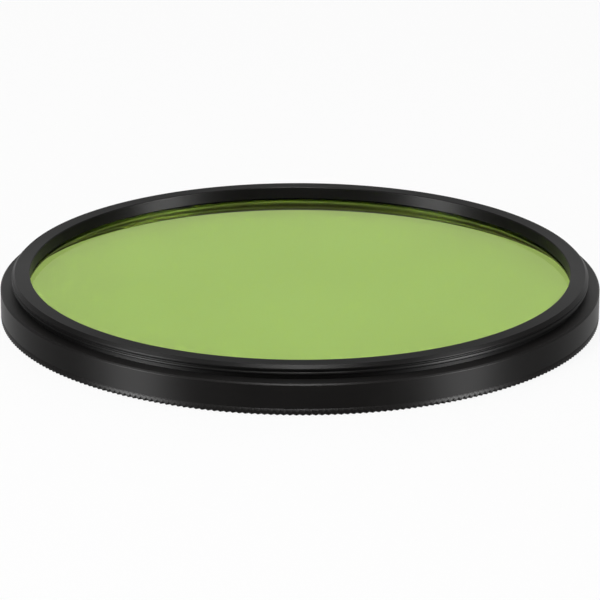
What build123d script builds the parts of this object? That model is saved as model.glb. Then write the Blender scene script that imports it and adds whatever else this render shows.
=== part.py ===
from build123d import *
import math
import os

# A screw-in colour filter for the front of a camera lens: one round of green
# glass in a thin turned ring. It lies on its front rim, with the collar that
# screws into the lens on top. The origin is the centre of the front rim's flat
# face, +Z is the optical axis towards the camera, and all sizes are millimetres.

# Lens thread, M77 x 0.75
thread_diameter = 77.0
thread_pitch = 0.75
crest_clearance = 0.04
thread_length = 1.40
thread_chamfer = 0.40
relief_width = 0.45
relief_depth = 0.45

# Ring walls, outside to inside
rim_overhang = 1.50
collar_wall = 1.95
seat_width = 0.95
lip_thickness = 1.65
shoulder_bevel = 0.20
opening_bevel = 0.10

# Front mouth
mouth_width = 0.90
mouth_depth = 0.50
stacking_clearance = 0.05

# Grip serration round the front edge: notches cut at 45 degrees, with sharp ridges between
knurl_pitch = 0.80
knurl_depth = 0.38
rim_bevel = 0.05

# Glass
glass_thickness = 2.15
glass_bevel = 0.15
glass_clearance = 0.10

# Retaining ring
retaining_thickness = 0.30
retaining_step = 0.45
retaining_overlap = 0.75
retaining_bevel = 0.08
retaining_clearance = 0.05
shelf_clearance = 0.10
spanner_notch_width = 1.50
spanner_notch_depth = 0.55
spanner_notch_count = 2

# ISO metric thread proportions
MINOR_PER_PITCH = 1.0825
FLANK_ANGLE = 30.0

# Radii, outside to inside
outer_radius = thread_diameter / 2 + rim_overhang
crest_radius = thread_diameter / 2 - crest_clearance
relief_radius = crest_radius - relief_depth
opening_radius = relief_radius - collar_wall
front_bore_radius = (thread_diameter - MINOR_PER_PITCH * thread_pitch) / 2
mouth_radius = front_bore_radius + mouth_width
glass_radius = opening_radius + seat_width
pocket_radius = glass_radius + glass_clearance
retaining_bore_radius = front_bore_radius - retaining_step
retaining_radius = retaining_bore_radius - retaining_clearance
retaining_opening_radius = glass_radius - retaining_overlap

# Heights above the front rim. The front recess is as deep as the collar is
# tall, so that the collar of a second filter fits inside it.
collar_height = relief_width + thread_length
recess_depth = collar_height + stacking_clearance
glass_front = recess_depth + retaining_thickness
seat_height = glass_front + glass_thickness
total_height = seat_height + lip_thickness
shoulder_height = total_height - collar_height
relief_top = shoulder_height + relief_width
shelf_height = glass_front + shelf_clearance

knurl_count = round(2 * math.pi * outer_radius / knurl_pitch)


def turned(points):
    """Turn a closed outline of (radius, height) points about the optical axis."""
    return revolve(make_face(Plane.XZ * Polyline(*points, close=True)), Axis.Z)


def ring_outline():
    """Half section of the ring, from the front face up the outside and down the inside."""
    flank_rise = relief_depth * math.tan(math.radians(FLANK_ANGLE))
    rim = [
        (mouth_radius, 0),
        (outer_radius, 0),
        (outer_radius, shoulder_height - shoulder_bevel),
        (outer_radius - shoulder_bevel, shoulder_height),
    ]
    collar = [
        (relief_radius, shoulder_height),
        (relief_radius, relief_top),
        (crest_radius, relief_top + flank_rise),
        (crest_radius, total_height - thread_chamfer),
        (crest_radius - thread_chamfer, total_height),
    ]
    inside = [
        (opening_radius + opening_bevel, total_height),
        (opening_radius, total_height - opening_bevel),
        (opening_radius, seat_height),
        (pocket_radius, seat_height),
        (pocket_radius, shelf_height),
        (retaining_bore_radius, shelf_height),
        (retaining_bore_radius, recess_depth),
        (front_bore_radius, recess_depth),
        (front_bore_radius, mouth_depth),
    ]
    return rim + collar + inside


def zigzag(height):
    """The serration's ridges and roots at one height: both widen upwards from one point on the axis."""
    ridge_radius = outer_radius - rim_bevel
    widening = 1 + height / ridge_radius
    radii = (ridge_radius * widening, (ridge_radius - knurl_depth) * widening)
    half_tooth = math.pi / knurl_count
    return [
        Vector(radii[i % 2] * math.cos(i * half_tooth), radii[i % 2] * math.sin(i * half_tooth), height)
        for i in range(2 * knurl_count)
    ]


def knurl_waste():
    """What the serration takes off the rim: a disc less the toothed cone that stays."""
    waste_height = 1.5 * (rim_bevel + knurl_depth)
    low = zigzag(0)
    high = zigzag(waste_height)
    corners = range(2 * knurl_count)
    flanks = [Face(Wire.make_polygon([low[i - 1], low[i], high[i], high[i - 1]])) for i in corners]
    ends = [Face(Wire.make_polygon(low)), Face(Wire.make_polygon(high))]
    toothed_cone = Solid(Shell(flanks + ends))
    disc = Cylinder(outer_radius + rim_bevel, waste_height, align=(Align.CENTER, Align.CENTER, Align.MIN))
    return disc - toothed_cone


def filter_ring():
    """The turned and knurled ring that carries both threads and the glass seat."""
    return turned(ring_outline()) - knurl_waste()


def filter_glass():
    """The flat round of green glass, bevelled at both edges."""
    return turned([
        (0, glass_front),
        (glass_radius - glass_bevel, glass_front),
        (glass_radius, glass_front + glass_bevel),
        (glass_radius, seat_height - glass_bevel),
        (glass_radius - glass_bevel, seat_height),
        (0, seat_height),
    ])


def retaining_ring():
    """The thin threaded ring that holds the glass against its seat."""
    blank = turned([
        (retaining_opening_radius + retaining_bevel, recess_depth),
        (retaining_radius - retaining_bevel, recess_depth),
        (retaining_radius, recess_depth + retaining_bevel),
        (retaining_radius, glass_front),
        (retaining_opening_radius, glass_front),
        (retaining_opening_radius, recess_depth + retaining_bevel),
    ])
    notch = Box(2 * spanner_notch_depth, spanner_notch_width, 4 * retaining_thickness)
    return blank - PolarLocations(retaining_opening_radius, spanner_notch_count) * (
        Pos(Z=glass_front) * notch)


parts = {
    "filter_ring": filter_ring(),
    "filter_glass": filter_glass(),
    "retaining_ring": retaining_ring(),
}

os.makedirs("parts", exist_ok=True)
for name, solid in parts.items():
    solid.label = name
    export_step(solid, f"parts/{name}.step")
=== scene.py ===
import math

import bmesh
import bpy
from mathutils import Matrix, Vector


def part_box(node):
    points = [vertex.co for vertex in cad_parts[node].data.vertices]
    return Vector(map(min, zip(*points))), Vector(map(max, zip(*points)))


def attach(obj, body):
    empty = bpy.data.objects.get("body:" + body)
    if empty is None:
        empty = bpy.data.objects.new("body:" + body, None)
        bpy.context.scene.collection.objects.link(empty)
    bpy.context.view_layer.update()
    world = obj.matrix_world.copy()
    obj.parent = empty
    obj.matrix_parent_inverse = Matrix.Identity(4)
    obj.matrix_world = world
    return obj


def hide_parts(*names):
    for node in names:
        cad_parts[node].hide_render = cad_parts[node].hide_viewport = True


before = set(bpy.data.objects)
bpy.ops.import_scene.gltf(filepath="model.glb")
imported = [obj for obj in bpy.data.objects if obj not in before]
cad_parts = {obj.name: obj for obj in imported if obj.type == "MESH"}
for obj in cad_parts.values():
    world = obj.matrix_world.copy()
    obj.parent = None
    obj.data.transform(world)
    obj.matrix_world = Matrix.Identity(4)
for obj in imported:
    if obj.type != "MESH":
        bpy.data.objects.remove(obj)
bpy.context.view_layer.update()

# A screw-in colour filter: a black anodised ring with a lens thread on top and
# a serrated front edge below, a round of green glass, and the ring that holds it.

MM = 0.001

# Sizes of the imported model, in millimetres
ring_low, ring_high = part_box("filter_ring")
glass_low, glass_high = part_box("filter_glass")
retainer_low, retainer_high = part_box("retaining_ring")
outer_radius = ring_high[0] / MM
total_height = ring_high[2] / MM
glass_radius = glass_high[0] / MM
glass_front = glass_low[2] / MM
seat_height = glass_high[2] / MM
retaining_radius = retainer_high[0] / MM
recess_depth = retainer_low[2] / MM

# Lens thread: M77 x 0.75, right-handed
thread_pitch = 0.75
thread_crest = 38.46
thread_chamfer = 0.40
groove_depth = 0.22
groove_root = 0.03
groove_height_at_front = 5.22
relief_radius = 38.01
relief_width = 0.45
flank_slope = math.tan(math.radians(30))

# Front thread, cut in the recess
front_bore = 38.094
front_groove_depth = 0.406
front_groove_root = 0.047
mouth_radius = 38.994
mouth_depth = 0.50

# Other walls of the ring
opening_radius = 36.06
opening_bevel = 0.10
pocket_radius = 37.11
shelf_clearance = 0.10
retaining_bore = 37.644
collar_height = 1.85
shoulder_bevel = 0.20
edge_radius = 0.03

# Heights and widths where one part of the ring's outline joins the next
collar_foot = 0.06
top_join = 0.02
recess_join = 0.04
mouth_join = 0.02
face_join = 0.15

# Serration of the front edge
tooth_count = 314
rim_bevel = 0.05
knurl_depth = 0.38
ridge_half_width = 0.05
knurl_run_out = 0.90
serration_edge = 0.025

# Glass and retaining ring
glass_bevel = 0.15
contact_gap = 0.002
retaining_opening = 36.26
retaining_bevel = 0.08
notch_width = 1.50
notch_depth = 0.55
notch_count = 2
notch_wall = 0.0016

# Columns of the turned meshes
columns_per_tooth = 2
serration_per_column = 3
glass_columns = 360
retainer_columns = 360


# Outlines


def soften(points, radius=edge_radius, closed=False):
    """Round the corners of a (radius, height) line, and keep a support point beside each round."""
    result = []
    count = len(points)
    for i, corner in enumerate(points):
        if not closed and i in (0, count - 1):
            result.append(corner)
            continue
        here = Vector(corner)
        before = Vector(points[i - 1]) - here
        after = Vector(points[(i + 1) % count]) - here
        reach = min(radius, before.length / 4, after.length / 4)
        start = here + before.normalized() * reach
        end = here + after.normalized() * reach
        result.append(tuple(here + before.normalized() * reach * 1.6))
        for step in range(3):
            t = step / 2
            result.append(tuple(start * (1 - t) ** 2 + here * 2 * t * (1 - t) + end * t ** 2))
        result.append(tuple(here + after.normalized() * reach * 1.6))
    return result


def soft_min(a, b, width):
    """The smaller of a and b, with the corner between them rounded over width."""
    blend = max(width - abs(a - b), 0.0) / width
    return min(a, b) - blend * blend * width / 4


def soft_max(a, b, width):
    """The larger of a and b, rounded in the same way."""
    return -soft_min(-a, -b, width)


# The collar's thread


def groove_height(turn, angle):
    """Height of a thread groove's middle at an angle, on the turn that is numbered from the front."""
    return groove_height_at_front + thread_pitch * (turn + angle / (2 * math.pi) + 0.25)


def collar_radius(height, angle):
    """Radius of the threaded collar: crest, top chamfer, relief flank and the helical groove."""
    relief_top = total_height - collar_height + relief_width
    chamfer = thread_crest - thread_chamfer + (total_height - height)
    flank = relief_radius + (height - relief_top) / flank_slope
    radius = soft_min(thread_crest, chamfer, edge_radius)
    radius = soft_min(radius, soft_max(flank, relief_radius, edge_radius), edge_radius)
    for turn in (-2, -1, 0, 1):
        off = abs(height - groove_height(turn, angle))
        side = thread_crest - groove_depth + max(off - groove_root, 0.0) / flank_slope
        radius = soft_min(radius, side, edge_radius)
    return radius


def collar_line(angle):
    """The collar's outline at one angle, from the shoulder up: its points follow the helix."""
    low = total_height - collar_height + collar_foot
    relief_top = total_height - collar_height + relief_width
    crest_start = relief_top + (thread_crest - relief_radius) * flank_slope
    chamfer_start = total_height - thread_chamfer
    corners = (relief_top, crest_start, chamfer_start)
    heights = [corner + off for corner in corners for off in (-0.03, -0.012, 0.012, 0.03)]
    half = groove_root + groove_depth * flank_slope
    offsets = (0.0, groove_root, half * 0.6, half - 0.02, half + 0.02)
    for turn in (-2, -1, 0, 1):
        middle = groove_height(turn, angle)
        heights += [middle + off for off in offsets] + [middle - off for off in offsets[1:]]
    top = total_height - top_join
    heights = sorted(min(max(height, low), top) for height in heights)
    return [(collar_radius(height, angle), height) for height in heights]


# The front thread


def recess_radius(height, angle):
    """Radius of the threaded recess in front."""
    radius = front_bore
    for turn in range(-7, -3):
        off = abs(height - groove_height(turn, angle))
        side = front_bore + front_groove_depth - max(off - front_groove_root, 0.0) / flank_slope
        radius = soft_max(radius, side, edge_radius)
    return radius


def recess_line(angle):
    """The recess's outline at one angle, from its floor down to the mouth."""
    high = recess_depth - recess_join
    low = mouth_depth + mouth_join
    half = front_groove_root + front_groove_depth * flank_slope
    offsets = (0.0, front_groove_root, half * 0.6, half - 0.02, half + 0.02)
    heights = []
    for turn in range(-7, -3):
        middle = groove_height(turn, angle)
        heights += [middle + off for off in offsets] + [middle - off for off in offsets[1:]]
    heights = sorted((min(max(height, low), high) for height in heights), reverse=True)
    return [(recess_radius(height, angle), height) for height in heights]


# The ring


def ring_line(angle):
    """The ring's outline at one angle, from the band above the serration round to the front face."""
    shoulder = total_height - collar_height
    band_and_shoulder = soften([
        (outer_radius, knurl_run_out),
        (outer_radius, shoulder - shoulder_bevel),
        (outer_radius - shoulder_bevel, shoulder),
        (relief_radius, shoulder),
        (relief_radius, shoulder + collar_foot),
    ])
    top_and_inside = soften([
        (thread_crest - thread_chamfer + top_join, total_height - top_join),
        (thread_crest - thread_chamfer, total_height),
        (opening_radius + opening_bevel, total_height),
        (opening_radius, total_height - opening_bevel),
        (opening_radius, seat_height),
        (pocket_radius, seat_height),
        (pocket_radius, glass_front + shelf_clearance),
        (retaining_bore, glass_front + shelf_clearance),
        (retaining_bore, recess_depth),
        (front_bore, recess_depth),
        (front_bore, recess_depth - recess_join),
    ])
    mouth = soften([
        (front_bore, mouth_depth + mouth_join),
        (front_bore + mouth_join, mouth_depth),
        (mouth_radius, mouth_depth),
        (mouth_radius, 0.0),
        (mouth_radius + face_join, 0.0),
    ])
    line = band_and_shoulder[:-1] + collar_line(angle) + top_and_inside[1:-1]
    return line + recess_line(angle) + mouth[2:]


def serration_base(phase):
    """Radius of the serration on the front face at a share of a tooth: 0 is a ridge, 0.5 a root."""
    from_ridge = abs((phase + 0.5) % 1 - 0.5)
    low = outer_radius - rim_bevel - knurl_depth
    straight = low + knurl_depth * (1 - 2 * from_ridge)
    ridge = outer_radius - rim_bevel - knurl_depth * ridge_half_width
    root = low + knurl_depth * ridge_half_width
    return min(max(straight, root), ridge)


def serration_line(phase):
    """Outline of the serrated edge at one phase: up a 45 degree bevel and out on to the band."""
    base = serration_base(phase)
    rise = outer_radius - base
    edge = serration_edge
    return [
        (mouth_radius + face_join, 0.0),
        (base - edge * 1.6, 0.0),
        (base - edge, 0.0),
        (base + edge * 0.3, edge * 0.7),
        (base + rise * 0.35, rise * 0.35),
        (base + rise * 0.7, rise * 0.7),
        (outer_radius - edge * 0.7, rise - edge * 0.7),
        (outer_radius, rise + edge * 0.5),
        (outer_radius, rise + edge * 1.6),
        (outer_radius, knurl_run_out),
    ]


def place(point, angle):
    radius, height = point
    return (radius * math.cos(angle) * MM, radius * math.sin(angle) * MM, height * MM)


def add_grid(vertices, faces, columns):
    """Add columns of points and the four-sided faces between neighbours. Returns the columns' indices."""
    index = []
    for column in columns:
        index.append(list(range(len(vertices), len(vertices) + len(column))))
        vertices.extend(column)
    for left, right in zip(index, index[1:]):
        for k in range(len(left) - 1):
            faces.append((left[k], right[k], right[k + 1], left[k + 1]))
    return index


def make_piece(name, vertices, faces, material, node):
    """Make a closed mesh from the points and faces, and let it stand for a CAD node."""
    mesh = bpy.data.meshes.new(name)
    mesh.from_pydata(vertices, [], faces)
    work = bmesh.new()
    work.from_mesh(mesh)
    bmesh.ops.remove_doubles(work, verts=work.verts, dist=2e-7)
    bmesh.ops.dissolve_degenerate(work, edges=work.edges, dist=1e-8)
    bmesh.ops.recalc_face_normals(work, faces=work.faces)
    work.to_mesh(mesh)
    work.free()
    mesh.polygons.foreach_set("use_smooth", [True] * len(mesh.polygons))
    piece = bpy.data.objects.new(name, mesh)
    bpy.context.scene.collection.objects.link(piece)
    mesh.materials.append(material)
    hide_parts(node)
    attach(piece, "root")
    return piece


def build_ring(material):
    vertices, faces = [], []
    count = tooth_count * columns_per_tooth
    angles = [2 * math.pi * i / count for i in range(count + 1)]
    body = add_grid(vertices, faces, [[place(p, a) for p in ring_line(a)] for a in angles])
    phases = []
    for tooth in range(tooth_count):
        for middle in (0.0, 0.5):
            phases += [tooth + middle - ridge_half_width, tooth + middle, tooth + middle + ridge_half_width]
    phases = phases[1:] + [tooth_count - ridge_half_width, float(tooth_count)]
    columns = [[place(p, 2 * math.pi * f / tooth_count) for p in serration_line(f)] for f in phases]
    teeth = add_grid(vertices, faces, columns)
    for i in range(count):
        fine = teeth[serration_per_column * i:serration_per_column * (i + 1) + 1]
        for end, coarse in ((-1, 0), (0, -1)):
            left, right = body[i][coarse], body[i + 1][coarse]
            row = [column[end] for column in fine]
            faces.append((left, row[0], row[1]))
            faces.append((left, row[1], row[2], right))
            faces.append((right, row[2], row[3]))
    return make_piece("ring_body", vertices, faces, material, "filter_ring")


def build_glass(material):
    vertices, faces = [], []
    low = glass_front + contact_gap
    high = seat_height - contact_gap
    line = [(0.0, low)] + soften([
        (glass_radius / 2, low),
        (glass_radius - glass_bevel, low),
        (glass_radius, low + glass_bevel),
        (glass_radius, high - glass_bevel),
        (glass_radius - glass_bevel, high),
        (glass_radius / 2, high),
    ]) + [(0.0, high)]
    angles = [2 * math.pi * i / glass_columns for i in range(glass_columns + 1)]
    add_grid(vertices, faces, [[place(p, a) for p in line] for a in angles])
    return make_piece("glass_round", vertices, faces, material, "filter_glass")


def retainer_line(inner):
    """Outline of the retaining ring with its inner wall at one radius."""
    bevel = retaining_bevel
    return soften([
        (inner + bevel, recess_depth),
        (retaining_radius - bevel, recess_depth),
        (retaining_radius, recess_depth + bevel),
        (retaining_radius, glass_front),
        (inner, glass_front),
        (inner, recess_depth + bevel),
    ], closed=True)


def build_retainer(material):
    vertices, faces = [], []
    step = 2 * math.pi / retainer_columns
    half_notch = notch_width / 2 / (retaining_opening + notch_depth / 2)
    stops = [i * step for i in range(retainer_columns + 1)]
    marks = []
    for notch in range(notch_count + 1):
        middle = 2 * math.pi * notch / notch_count
        for side in (-1, 1):
            wall = middle + side * half_notch
            stops = [stop for stop in stops if abs(stop - wall) > step / 2]
            marks += [wall - notch_wall / 2 * side, wall + notch_wall / 2 * side]
    stops = sorted(set(stops + [mark for mark in marks if 0 <= mark <= 2 * math.pi]))
    columns = []
    for angle in stops:
        from_notch = min(abs(angle - 2 * math.pi * k / notch_count) for k in range(notch_count + 1))
        inner = retaining_opening + (notch_depth if from_notch < half_notch else 0.0)
        line = retainer_line(inner)
        columns.append([place(p, angle) for p in line + line[:1]])
    add_grid(vertices, faces, columns)
    return make_piece("retainer_ring", vertices, faces, material, "retaining_ring")


# Materials

# Where the ring's colour changes, as radii and heights in millimetres: the painted shade on the collar
# stops at band_start, and the painted light of the recess lies within recess_edge and below recess_top
band_start = (38.6, 39.0)
recess_edge = (39.02, 38.97)
recess_top = (2.32, 2.22)

# Painted light: a lighter grey for the recess walls and the retaining ring below the glass, standing in for
# the light that falls there.
painted_light_grey_dark = (0.29, 0.25, 0.265)
painted_light_grey_light = (0.33, 0.285, 0.30)
glass_dark = (0.562, 0.662, 0.338)
glass_light = (0.570, 0.670, 0.346)


def new_material(name):
    material = bpy.data.materials.new(name)
    material.use_nodes = True
    tree = material.node_tree
    return material, tree, tree.nodes["Principled BSDF"]


def noise(tree, vector, scale, detail=2.0):
    node = tree.nodes.new("ShaderNodeTexNoise")
    node.inputs["Scale"].default_value = scale
    node.inputs["Detail"].default_value = detail
    tree.links.new(vector, node.inputs["Vector"])
    return node.outputs["Fac"]


def ramp(tree, value, low, high):
    """Spread a 0 to 1 value over low to high."""
    node = tree.nodes.new("ShaderNodeMapRange")
    node.inputs["To Min"].default_value = low
    node.inputs["To Max"].default_value = high
    tree.links.new(value, node.inputs["Value"])
    return node.outputs["Result"]


def colour_between(tree, value, first, second):
    node = tree.nodes.new("ShaderNodeValToRGB")
    node.color_ramp.elements[0].position = 0.3
    node.color_ramp.elements[1].position = 0.7
    node.color_ramp.elements[0].color = (*first, 1)
    node.color_ramp.elements[1].color = (*second, 1)
    tree.links.new(value, node.inputs["Fac"])
    return node.outputs["Color"]


def bump(tree, height, distance, strength, normal=None):
    node = tree.nodes.new("ShaderNodeBump")
    node.inputs["Distance"].default_value = distance
    node.inputs["Strength"].default_value = strength
    tree.links.new(height, node.inputs["Height"])
    if normal:
        tree.links.new(normal, node.inputs["Normal"])
    return node.outputs["Normal"]


def object_place(tree):
    return tree.nodes.new("ShaderNodeTexCoord").outputs["Object"]


def turned_place(tree, position):
    """Radius and height as a vector, so that a texture runs in circles as tool marks do."""
    parts = tree.nodes.new("ShaderNodeSeparateXYZ")
    tree.links.new(position, parts.inputs["Vector"])
    flat = tree.nodes.new("ShaderNodeCombineXYZ")
    tree.links.new(parts.outputs["X"], flat.inputs["X"])
    tree.links.new(parts.outputs["Y"], flat.inputs["Y"])
    length = tree.nodes.new("ShaderNodeVectorMath")
    length.operation = "LENGTH"
    tree.links.new(flat.outputs["Vector"], length.inputs[0])
    result = tree.nodes.new("ShaderNodeCombineXYZ")
    tree.links.new(length.outputs["Value"], result.inputs["X"])
    tree.links.new(parts.outputs["Z"], result.inputs["Z"])
    return result.outputs["Vector"]


def brushed_tangent(tree):
    """The direction of the lathe's tool marks: round the optical axis."""
    node = tree.nodes.new("ShaderNodeTangent")
    node.direction_type = "RADIAL"
    node.axis = "Z"
    return node.outputs["Tangent"]


def between(tree, value, start, end):
    """0 at the start and before, 1 at the end and past it: a place in metres between two in millimetres."""
    node = tree.nodes.new("ShaderNodeMapRange")
    node.inputs["From Min"].default_value = start * MM
    node.inputs["From Max"].default_value = end * MM
    tree.links.new(value, node.inputs["Value"])
    return node.outputs["Result"]


def mix_colour(tree, share, first, second):
    node = tree.nodes.new("ShaderNodeMix")
    node.data_type = "RGBA"
    tree.links.new(share, node.inputs["Factor"])
    tree.links.new(first, node.inputs["A"])
    tree.links.new(second, node.inputs["B"])
    return node.outputs["Result"]


def finish_anodised(tree, shader, position, turned, roughness):
    """Etched grain and tool marks, and highlights that spread across the tool marks."""
    cloud = noise(tree, position, 130.0, 3.0)
    marks = noise(tree, turned, 16000.0, 1.0)
    grain = noise(tree, position, 11000.0, 2.0)
    rough = ramp(tree, cloud, roughness - 0.04, roughness + 0.04)
    tree.links.new(rough, shader.inputs["Roughness"])
    normal = bump(tree, marks, 0.000004, 0.25)
    normal = bump(tree, grain, 0.000006, 0.35, normal)
    tree.links.new(normal, shader.inputs["Normal"])
    shader.inputs["Anisotropic"].default_value = 0.75
    shader.inputs["Anisotropic Rotation"].default_value = 0.25
    tree.links.new(brushed_tangent(tree), shader.inputs["Tangent"])
    return cloud


def anodised_ring():
    """Black anodised aluminium with painted shade and painted light: the collar is coloured darker than the
    grip band for the shade on its threads, and the recess in front is a lighter metallic grey for the light
    on its walls.
    """
    material, tree, shader = new_material("anodised_ring")
    position = object_place(tree)
    turned = turned_place(tree, position)
    cloud = finish_anodised(tree, shader, position, turned, 0.42)
    parts = tree.nodes.new("ShaderNodeSeparateXYZ")
    tree.links.new(turned, parts.inputs["Vector"])
    on_band = between(tree, parts.outputs["X"], *band_start)
    # Painted shade: the collar's colour is darker than the band's, standing in for the shade on the
    # threads.
    collar = colour_between(tree, cloud, (0.0022, 0.0020, 0.0019), (0.0032, 0.0029, 0.0027))
    band = colour_between(tree, cloud, (0.0042, 0.0037, 0.0035), (0.0056, 0.0050, 0.0047))
    # Painted light: the recess below the glass gets the lighter metallic grey.
    recess_painted_light = colour_between(tree, cloud, painted_light_grey_dark, painted_light_grey_light)
    black_with_painted_shade = mix_colour(tree, on_band, collar, band)
    inside = between(tree, parts.outputs["X"], *recess_edge)
    below = between(tree, parts.outputs["Z"], *recess_top)
    recess_painted_light_mask = tree.nodes.new("ShaderNodeMath")
    recess_painted_light_mask.operation = "MULTIPLY"
    tree.links.new(inside, recess_painted_light_mask.inputs[0])
    tree.links.new(below, recess_painted_light_mask.inputs[1])
    tree.links.new(mix_colour(tree, recess_painted_light_mask.outputs["Value"], black_with_painted_shade, recess_painted_light), shader.inputs["Base Color"])
    tree.links.new(recess_painted_light_mask.outputs["Value"], shader.inputs["Metallic"])
    shader.inputs["Specular IOR Level"].default_value = 0.04
    return material


def anodised_retainer():
    """The retaining ring in a lighter metallic grey: painted light for the light that falls on it below the
    glass.
    """
    material, tree, shader = new_material("anodised_retainer")
    position = object_place(tree)
    cloud = finish_anodised(tree, shader, position, turned_place(tree, position), 0.45)
    # Painted light: the lighter grey stands in for the light on the retaining ring.
    tree.links.new(colour_between(tree, cloud, painted_light_grey_dark, painted_light_grey_light), shader.inputs["Base Color"])
    shader.inputs["Metallic"].default_value = 1.0
    return material


def green_glass():
    """Coated glass that is coloured through: it bends light, and mirrors a little at low angles."""
    material = bpy.data.materials.new("green_glass")
    material.use_nodes = True
    tree = material.node_tree
    tree.nodes.remove(tree.nodes["Principled BSDF"])
    position = object_place(tree)
    cloud = noise(tree, position, 40.0, 1.0)
    normal = bump(tree, cloud, 0.000002, 0.05)
    bent = tree.nodes.new("ShaderNodeBsdfRefraction")
    bent.inputs["IOR"].default_value = 1.58
    bent.inputs["Roughness"].default_value = 0.0
    tree.links.new(colour_between(tree, cloud, glass_dark, glass_light), bent.inputs["Color"])
    tree.links.new(normal, bent.inputs["Normal"])
    mirrored = tree.nodes.new("ShaderNodeBsdfAnisotropic")
    mirrored.inputs["Roughness"].default_value = 0.0
    tree.links.new(normal, mirrored.inputs["Normal"])
    fresnel = tree.nodes.new("ShaderNodeFresnel")
    fresnel.inputs["IOR"].default_value = 1.10
    mix = tree.nodes.new("ShaderNodeMixShader")
    tree.links.new(fresnel.outputs["Fac"], mix.inputs["Fac"])
    tree.links.new(bent.outputs["BSDF"], mix.inputs[1])
    tree.links.new(mirrored.outputs["BSDF"], mix.inputs[2])
    tree.links.new(mix.outputs["Shader"], tree.nodes["Material Output"].inputs["Surface"])
    return material


# Stage: floor, world, lamps and camera


def seen_directly(tree):
    """1 for rays that come from the camera, a reflection or through glass."""
    path = tree.nodes.new("ShaderNodeLightPath")
    first = tree.nodes.new("ShaderNodeMath")
    first.operation = "MAXIMUM"
    tree.links.new(path.outputs["Is Camera Ray"], first.inputs[0])
    tree.links.new(path.outputs["Is Glossy Ray"], first.inputs[1])
    second = tree.nodes.new("ShaderNodeMath")
    second.operation = "MAXIMUM"
    tree.links.new(first.outputs["Value"], second.inputs[0])
    tree.links.new(path.outputs["Is Transmission Ray"], second.inputs[1])
    return second.outputs["Value"]


def build_world(strength):
    world = bpy.data.worlds.new("studio")
    bpy.context.scene.world = world
    world.use_nodes = True
    tree = world.node_tree
    background = tree.nodes["Background"]
    background.inputs["Color"].default_value = (1, 1, 1, 1)
    tree.links.new(ramp(tree, seen_directly(tree), strength, 1.0), background.inputs["Strength"])


def build_floor(size, shadow_share):
    mesh = bpy.data.meshes.new("floor")
    half = size / 2
    corners = [(-half, -half, 0), (half, -half, 0), (half, half, 0), (-half, half, 0)]
    mesh.from_pydata(corners, [], [(0, 1, 2, 3)])
    floor = bpy.data.objects.new("floor", mesh)
    floor.location.z = -0.00002
    bpy.context.scene.collection.objects.link(floor)
    material, tree, shader = new_material("paper")
    shader.inputs["Base Color"].default_value = (0.9, 0.9, 0.9, 1)
    shader.inputs["Roughness"].default_value = 0.9
    shader.inputs["Specular IOR Level"].default_value = 0.0
    glow = tree.nodes.new("ShaderNodeEmission")
    glow.inputs["Strength"].default_value = 1.0
    mix = tree.nodes.new("ShaderNodeMixShader")
    share = ramp(tree, seen_directly(tree), 0.0, 1 - shadow_share)
    tree.links.new(share, mix.inputs["Fac"])
    tree.links.new(shader.outputs["BSDF"], mix.inputs[1])
    tree.links.new(glow.outputs["Emission"], mix.inputs[2])
    tree.links.new(mix.outputs["Shader"], tree.nodes["Material Output"].inputs["Surface"])
    mesh.materials.append(material)


def add_lamp(name, azimuth, elevation, distance, width, height, watts, only_gloss=False):
    """A soft rectangular lamp that points at the filter. Azimuth 0 is the camera's side, 90 its right."""
    data = bpy.data.lights.new(name, "AREA")
    data.shape = "RECTANGLE"
    data.size = width
    data.size_y = height
    data.energy = watts
    lamp = bpy.data.objects.new(name, data)
    turn, lift = math.radians(azimuth), math.radians(elevation)
    direction = Vector((math.sin(turn) * math.cos(lift), -math.cos(turn) * math.cos(lift), math.sin(lift)))
    lamp.location = direction * distance
    lamp.rotation_euler = direction.to_track_quat("Z", "Y").to_euler()
    lamp.visible_diffuse = not only_gloss
    bpy.context.scene.collection.objects.link(lamp)


def build_camera(elevation, distance, lens, aim_height, roll):
    data = bpy.data.cameras.new("camera")
    data.lens = lens
    data.sensor_width = 36.0
    data.clip_start = 0.01
    camera = bpy.data.objects.new("camera", data)
    lift = math.radians(elevation)
    camera.location = (0, -distance * math.cos(lift), distance * math.sin(lift))
    away = camera.location - Vector((0, 0, aim_height))
    camera.rotation_euler = away.to_track_quat("Z", "Y").to_euler()
    camera.rotation_euler.rotate_axis("Z", math.radians(roll))
    bpy.context.scene.collection.objects.link(camera)
    bpy.context.scene.camera = camera


build_camera(elevation=19.20, distance=0.48, lens=214.5, aim_height=0.00135, roll=0.16)
build_world(strength=0.45)
build_floor(size=3.0, shadow_share=0.15)
add_lamp("key_lamp", azimuth=-25, elevation=60, distance=1.0, width=0.8, height=0.8, watts=7.0)
for side in (-1, 1):
    add_lamp(f"edge_lamp_{side + 1}", azimuth=62 * side, elevation=14, distance=0.9,
             width=0.30, height=0.30, watts=60.0, only_gloss=True)
add_lamp("top_lamp", azimuth=0, elevation=71, distance=1.0,
         width=0.30, height=0.20, watts=30.0, only_gloss=True)

ring_painted_light_and_shade = anodised_ring()
retainer_painted_light_material = anodised_retainer()
glass_finish = green_glass()

build_ring(ring_painted_light_and_shade)
build_glass(glass_finish)
build_retainer(retainer_painted_light_material)

bpy.context.scene.view_settings.view_transform = "Standard"
